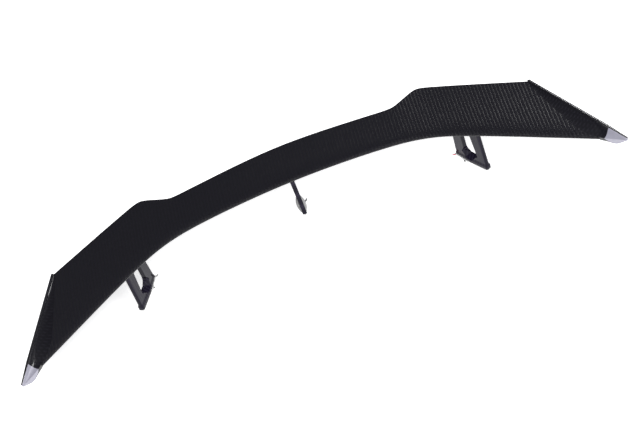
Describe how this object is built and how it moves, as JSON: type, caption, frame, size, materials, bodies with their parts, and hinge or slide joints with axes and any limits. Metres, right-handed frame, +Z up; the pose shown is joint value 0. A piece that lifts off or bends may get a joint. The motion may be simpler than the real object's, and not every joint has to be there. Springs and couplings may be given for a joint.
{
  "type": "rear wing",
  "caption": "Wide racing rear wing: swept hollow main plane with a stepped trailing edge, flared end plates and pale tips, on a middle blade and two framed stands.",
  "frame": {"origin": "centre of the face that the middle stand rests on", "axes": "+X to the right of the car, -Y towards the front of the car, +Z up"},
  "size_m": [1.731, 0.4612, 0.1904],
  "materials": {
    "carbon_wing": "clear-coated 2x2 carbon twill",
    "carbon_endplate": "clear-coated 2x2 carbon twill",
    "tip_finish": "smooth pale grey coating",
    "carbon_stand": "clear-coated carbon, finer weave",
    "core_laminate": "foam and glass laminate, hidden",
    "hardpoint_alloy": "milled, hidden",
    "gasket_rubber": "matt sheet rubber",
    "foot_rubber": "matt sheet rubber",
    "foam_tape": "closed-cell foam",
    "liner_film": "red peel-off film",
    "fastener_steel": "zinc-plated"
  },
  "bodies": {
    "root": {"upper_skin": "carbon_wing", "lower_skin": "carbon_wing", "left_endplate": "carbon_endplate", "right_endplate": "carbon_endplate", "left_tip_cap": "tip_finish", "right_tip_cap": "tip_finish", "left_stand": "carbon_stand", "center_stand": "carbon_stand", "right_stand": "carbon_stand", "center_spar": "core_laminate", "left_spar": "core_laminate", "right_spar": "core_laminate", "left_inner_rib": "core_laminate", "right_inner_rib": "core_laminate", "left_tip_rib": "core_laminate", "right_tip_rib": "core_laminate", "left_hardpoint": "hardpoint_alloy", "center_hardpoint": "hardpoint_alloy", "right_hardpoint": "hardpoint_alloy", "left_gasket": "gasket_rubber", "center_gasket": "gasket_rubber", "right_gasket": "gasket_rubber", "left_foot_pad": "foot_rubber", "right_foot_pad": "foot_rubber", "left_foam_tape": "foam_tape", "center_foam_tape": "foam_tape", "right_foam_tape": "foam_tape", "left_tape_liner": "liner_film", "center_tape_liner": "liner_film", "right_tape_liner": "liner_film", "left_stand_screws": "fastener_steel", "center_stand_screws": "fastener_steel", "right_stand_screws": "fastener_steel", "left_deck_stud": "fastener_steel", "center_deck_stud": "fastener_steel", "right_deck_stud": "fastener_steel"}
  },
  "joints": []
}
